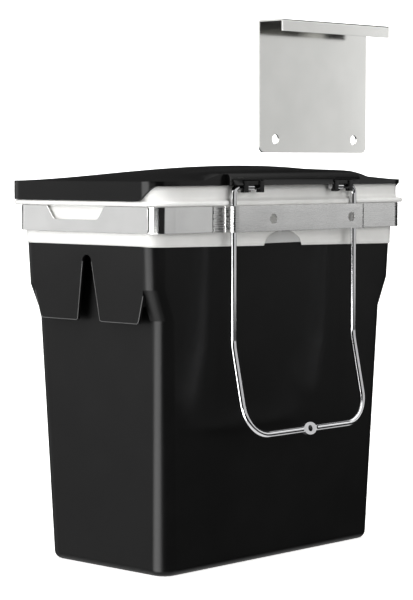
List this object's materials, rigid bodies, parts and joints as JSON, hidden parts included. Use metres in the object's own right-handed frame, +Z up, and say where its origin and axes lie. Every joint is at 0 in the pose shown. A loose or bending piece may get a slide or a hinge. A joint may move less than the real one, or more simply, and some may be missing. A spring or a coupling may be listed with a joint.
{
  "type": "in-cabinet trash can",
  "caption": "Door-hung rectangular trash can: tapered tub with folded-over bag in a steel band frame, domed hinged lid, sprung wire loop and a separate over-door hook plate.",
  "frame": {"origin": "centre of the tub's base", "axes": "+Z up, +Y towards the cupboard door that the bin hangs on, X along the long side"},
  "size_m": [0.2936, 0.2045, 0.4184],
  "materials": {
    "tub_black": "satin",
    "lid_black": "semi-gloss",
    "film_white": "soft",
    "tape_grey": "soft",
    "band_steel": "polished",
    "wire_chrome": "mirror",
    "hook_steel": "satin"
  },
  "bodies": {
    "frame": {"front_band": "band_steel", "back_band": "band_steel", "left_side_band": "band_steel", "right_side_band": "band_steel", "mount_bracket": "band_steel", "hinge_wire": "wire_chrome", "frame_welds": "band_steel"},
    "tub": {"tub": "tub_black", "liner_bag": "film_white", "draw_tape_front": "tape_grey", "draw_tape_back": "tape_grey"},
    "lid": {"lid": "lid_black"},
    "left_hinge_clip": {"hinge_clip_left": "lid_black"},
    "right_hinge_clip": {"hinge_clip_right": "lid_black"},
    "door_hook": {"door_hook": "hook_steel"}
  },
  "joints": [
    {"name": "tub_lift", "type": "slide", "parent": "frame", "child": "tub", "axis": [0, 0, 1], "range_m": [0, 0.3]},
    {"name": "lid_hinge", "type": "hinge", "parent": "tub", "child": "lid", "pos_m": [0, 0.08634, 0.293], "axis": [-1, 0, 0], "range_deg": [0, 45]},
    {"name": "left_clip_turn", "type": "hinge", "parent": "frame", "child": "left_hinge_clip", "pos_m": [0.053, 0.08634, 0.293], "axis": [-1, 0, 0], "range_deg": [0, 45]},
    {"name": "right_clip_turn", "type": "hinge", "parent": "frame", "child": "right_hinge_clip", "pos_m": [-0.053, 0.08634, 0.293], "axis": [-1, 0, 0], "range_deg": [0, 45]},
    {"name": "hook_drop", "type": "slide", "parent": "frame", "child": "door_hook", "axis": [0, 0, 1], "range_m": [-0.0605, 0]}
  ],
  "couplings": [
    {"joint": "left_clip_turn", "follows": "lid_hinge", "ratio": 1},
    {"joint": "right_clip_turn", "follows": "lid_hinge", "ratio": 1}
  ]
}
